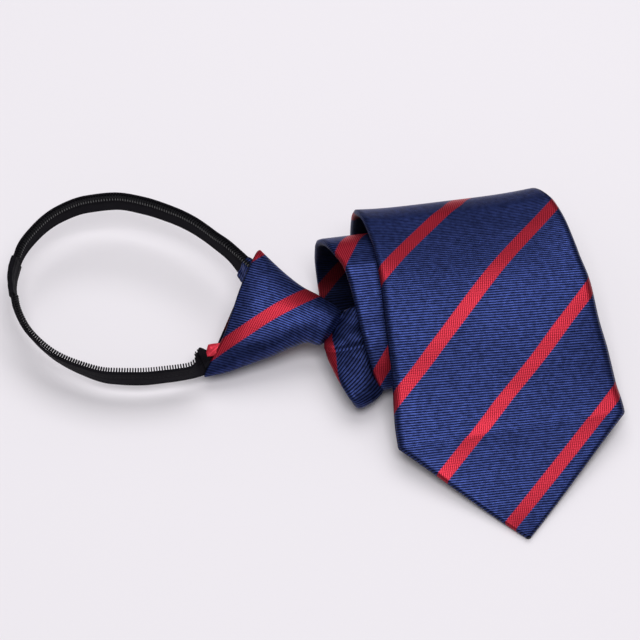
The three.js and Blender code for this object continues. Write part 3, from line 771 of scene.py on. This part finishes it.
def loopAxes(place):
    onward = loopEdge(place + 0.05) - loopEdge(place - 0.05)
    outwards = Vector((-onward.y, onward.x, 0)).normalized()
    leaning = math.radians(between(loopRows, min(max(place, 0), loopLast))["lean"])
    up = Vector((0, 0, math.cos(leaning))) + outwards * math.sin(leaning)
    onward.normalize()
    inwards = onward.cross(up).normalized()
    return onward, inwards.cross(onward).normalized(), inwards


loopRuler = Ruler(loopEdge, loopLast, 50)
frontCuffAt = loopRuler.lengthAt(loop["frontMouth"])
backCuffAt = loopRuler.lengthAt(loopLast + 1 - loop["backMouth"])


def onLoop(length, up, inside):
    place = loopRuler.placeAt(min(max(length, 0), loopRuler.whole))
    onward, upward, inwards = loopAxes(place)
    past = ease(length, *[frontCuffAt + reach for reach in loop["pinchReach"]])
    up *= 1 - loop["pinch"] * (1 - past)
    return loopEdge(place) + upward * up + inwards * inside


joinAt = loopRuler.lengthAt(loop["joinPlace"])
frontStart = loopRuler.lengthAt(loop["frontEnd"])
backStart = loopRuler.lengthAt(loopLast + 1 - loop["backEnd"])


# A woven tape: a bead at its lower selvedge and a groove under the stitches
def makeTape(name, start, end, node):
    def tapeSkin(around, share):
        length = start + (end - start) * share
        side, up, reach, paintedLight = section(around, loop["tapeWide"] / 2, halfTape)
        high = loop["tapeWide"] / 2 + side
        bead = loop["beadHigh"] * math.exp(-((high - loop["beadAt"]) / loop["beadWide"]) ** 2)
        groove = loop["grooveDeep"] * math.exp(-((high - loop["grooveAt"]) / loop["grooveWide"]) ** 2)
        wave = loop["wave"] * noise.noise(Vector((length / 9, high / 6, 1.7)))
        out = up * (1 + (bead - groove) / halfTape) + wave
        return onLoop(length, high, out), (high, length), paintedLight

    bm = bentGrid(72, int(abs(end - start)), tapeSkin)
    closeEnds(bm)
    return finish(name, bm, tapeCloth, "zip_cloth", node)


makeTape("tapeFront", frontStart, joinAt - loop["fit"] / 2, "zip_tape_front")
makeTape("tapeBack", joinAt + loop["fit"] / 2, backStart, "zip_tape_back")


# One tooth: a short bar with chamfered edges and a wider head, reaching inwards from its cord
def toothTemplate():
    bm = bmesh.new()
    bmesh.ops.create_cube(bm, size=1)
    head = [vert for vert in bm.verts if vert.co.z > 0]
    bmesh.ops.scale(bm, vec=(loop["toothHead"], 1, 1), verts=head)
    size = (loop["toothThick"], loop["teethHigh"] - 0.2, loop["teethReach"])
    bmesh.ops.scale(bm, vec=size, verts=bm.verts)
    bmesh.ops.bevel(
        bm, geom=bm.edges[:], offset=loop["toothBevel"], segments=1, profile=0.5, affect="EDGES", material=-1,
        clamp_overlap=True,
    )
    bmesh.ops.scale(bm, vec=(mm, mm, mm), verts=bm.verts)
    paintedLightLayer = bm.loops.layers.uv.new("paintedLight")
    bm.normal_update()
    for face in bm.faces:
        # the tooth heads get the painted grey highlight
        onHead = 1 if face.normal.z > 0.9 else 0
        for corner in face.loops:
            corner[paintedLightLayer].uv = (onHead, 0)
    mesh = bpy.data.meshes.new("toothTemplate")
    bm.to_mesh(mesh)
    bm.free()
    return mesh


def makeTeeth(name, start, end, node):
    template = toothTemplate()
    high = loop["tapeWide"] - loop["teethInset"] - loop["teethHigh"] / 2
    inside = halfTape + 0.1

    def cordSkin(around, share):
        angle = 2 * math.pi * around
        length = start + (end - start) * share
        up = high - loop["cordDrop"] + loop["cordHigh"] * math.sin(angle)
        thick = loop["cordThick"] * (1 + math.cos(angle))
        return onLoop(length, up, inside + thick), (up, length), (0, 0)

    cord = bentGrid(10, int(abs(end - start)), cordSkin)
    closeEnds(cord)
    cordMesh = bpy.data.meshes.new("cordTemplate")
    cord.to_mesh(cordMesh)
    cord.free()
    bm = bmesh.new()
    count = int(abs(end - start) / loop["teethPitch"])
    for index in range(count):
        length = start + (end - start) * (index + 0.5) / count
        onward, up, inwards = loopAxes(loopRuler.placeAt(length))
        at = toScene(onLoop(length, high, inside + loop["teethReach"] / 2))
        turned = Matrix((onward, up, inwards)).transposed().to_4x4()
        first = len(bm.verts)
        bm.from_mesh(template)
        bm.verts.ensure_lookup_table()
        bmesh.ops.transform(bm, matrix=Matrix.Translation(at) @ turned, verts=bm.verts[first:])
    bm.from_mesh(cordMesh)
    return finish(name, bm, toothNylon, "zip_nylon", node)


sleeveHalf = loop["sleeveLong"] / 2
makeTeeth("teethFront", frontStart + 0.5, joinAt - sleeveHalf - 0.3, "zip_coil_front")
makeTeeth("teethBack", joinAt + sleeveHalf + 0.3, backStart - 0.5, "zip_coil_back")
print("zip made")


# A band round the tape and its teeth: how far it stands past the tape at its foot, its top, its outside and
# its inside, with lumps and ridges
bands = {
    "joinSleeve": {
        "start": joinAt - sleeveHalf + loop["sleeveShort"], "end": joinAt + sleeveHalf,
        "foot": 0, "top": 0, "outside": 0.1, "inside": 0.1, "wall": loop["sleeveWall"],
        "lumps": 0.10, "ridges": ((2.2, 0.22), (-2.0, 0.22)),
        "material": cuffRibbon, "slot": "zip_cloth", "node": "join_sleeve",
    },
    "frontCuff": {
        "start": frontCuffAt - loop["cuffLong"] / 2, "end": frontCuffAt + loop["cuffLong"] / 2,
        "foot": 0.3, "top": -0.2, "outside": 0.3, "inside": 0.5, "wall": loop["cuffWall"],
        "lumps": 0.7, "ridges": ((3.2, 0.3), (-1.5, 0.4)),
        "material": cuffRibbon, "slot": "zip_cloth", "node": "front_cuff",
    },
    "backCollar": {
        "start": backCuffAt - loop["cuffLong"] / 2, "end": backCuffAt + loop["cuffLong"] / 2,
        "foot": 0.3, "top": -0.2, "outside": 0.3, "inside": 0.4, "wall": loop["cuffWall"],
        "lumps": 0.4, "ridges": ((2.0, 0.2), (-2.5, 0.2)),
        "material": collarSilk, "slot": "silk", "node": "back_cuff",
    },
}


def makeBand(name, spec):
    wall = spec["wall"]
    low = -spec["foot"] - wall
    high = loop["tapeWide"] + spec["top"] + wall
    outside = halfTape + spec["outside"] + wall
    inside = halfTape + spec["inside"] + wall
    middleUp, halfUp = (low + high) / 2, (high - low) / 2
    middleIn, halfIn = (inside - outside) / 2, (inside + outside) / 2

    def bandSkin(around, share, beyond, depth):
        length = spec["start"] + (spec["end"] - spec["start"]) * share + beyond
        side, up, reach, paintedLight = section(around, halfUp - depth, halfIn - depth)
        ridge = sum(math.exp(-((side - place) / 0.7) ** 2) * size for place, size in spec["ridges"])
        lump = spec["lumps"] * noise.noise(Vector((length / 1.7, reach / 3.1, 8.3)))
        grow = 1 + (ridge + lump) / halfIn if depth < wall * 0.6 else 1
        tuck = 1 - 0.04 * (2 * share - 1) ** 4
        # the band's rims carry painted shade
        return onLoop(length, middleUp + side * tuck, middleIn + up * grow), (side, length), (paintedLight[0], 0)

    bm = bentShell(64, shellRows(18, wall, 3), bandSkin)
    finish(name, bm, spec["material"], spec["slot"], spec["node"])


for bandName, bandSpec in bands.items():
    makeBand(bandName, bandSpec)

# The red corner of the wrap's lining, folded over beside the front cuff
cornerFold = {
    "middle": (-37.1, -19.5, 11.7), "long": 3.5, "wide": 2.5, "thick": 1.0, "point": 1.25,
    "crease": 0.5, "creaseAt": 0.15, "creaseWide": 0.22, "yaw": 40, "pitch": 16, "out": (-0.25, -0.55, 0.8),
}
foldLong = direction(cornerFold["yaw"], cornerFold["pitch"])
foldOut = Vector(cornerFold["out"])
foldOut = (foldOut - foldLong * foldOut.dot(foldLong)).normalized()
foldWide = foldLong.cross(foldOut)


def foldSkin(around, share):
    angle = 2 * math.pi * around
    rise = 2 * share - 1
    girth = 1 - abs(rise) ** cornerFold["point"]
    wide = girth * math.cos(angle)
    out = girth * math.sin(angle)
    fromCrease = (wide - cornerFold["creaseAt"]) / cornerFold["creaseWide"]
    crease = cornerFold["crease"] * math.exp(-fromCrease ** 2) * max(out, 0)
    offset = foldLong * rise * cornerFold["long"] + foldWide * wide * cornerFold["wide"]
    offset += foldOut * (out * cornerFold["thick"] - crease)
    return Vector(cornerFold["middle"]) + offset, (wide * 3, rise * 3), (0, 0)


foldMesh = bentGrid(40, 30, foldSkin)
finish("cornerFold", foldMesh, redSatin, "red_silk", "corner_fold")

# The slider inside the knot stays as the model has it
for slotIndex in range(len(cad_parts["zip_slider"].material_slots)):
    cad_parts["zip_slider"].material_slots[slotIndex].material = sliderPaint

# Surface and light
studio = {
    "floor": colour(0.83, 0.80, 0.84), "sky": colour(0.98, 0.97, 1.0), "skyPower": 0.25,
    "lampPlace": (0.05, -0.45, 1.65), "lampSize": (1.0, 0.8), "lampPower": 15.0,
    "backPlace": (0.15, 0.70, 1.25), "backSize": (1.3, 1.0), "backPower": 10.1,
}

floorMesh = bmesh.new()
bmesh.ops.create_grid(floorMesh, x_segments=1, y_segments=1, size=3)
floorData = bpy.data.meshes.new("floor")
floorMesh.to_mesh(floorData)
floorMesh.free()
floor = bpy.data.objects.new("floor", floorData)
bpy.context.collection.objects.link(floor)
floorMaker = Maker("floorPaper")
floorMaker.set(Base_Color=studio["floor"], Roughness=0.9, Specular_IOR_Level=0.1)
floorData.materials.append(floorMaker.material)

world = bpy.data.worlds.new("studio")
world.use_nodes = True
world.node_tree.nodes["Background"].inputs["Color"].default_value = studio["sky"]
world.node_tree.nodes["Background"].inputs["Strength"].default_value = studio["skyPower"]
bpy.context.scene.world = world


def areaLamp(name, place, aim, size, power):
    data = bpy.data.lights.new(name, "AREA")
    data.shape = "RECTANGLE"
    data.size, data.size_y = size
    data.energy = power
    lamp = bpy.data.objects.new(name, data)
    lamp.location = place
    lamp.rotation_euler = (Vector(aim) - Vector(place)).to_track_quat("-Z", "Y").to_euler()
    bpy.context.collection.objects.link(lamp)
    return lamp


areaLamp("keyLamp", studio["lampPlace"], (0, 0, 0), studio["lampSize"], studio["lampPower"])
backLamp = areaLamp("backLamp", studio["backPlace"], (0, 0, 0), studio["backSize"], studio["backPower"])
backLamp.visible_glossy = False      # it only fills the floor and casts the soft shadows in front
print("studio set")
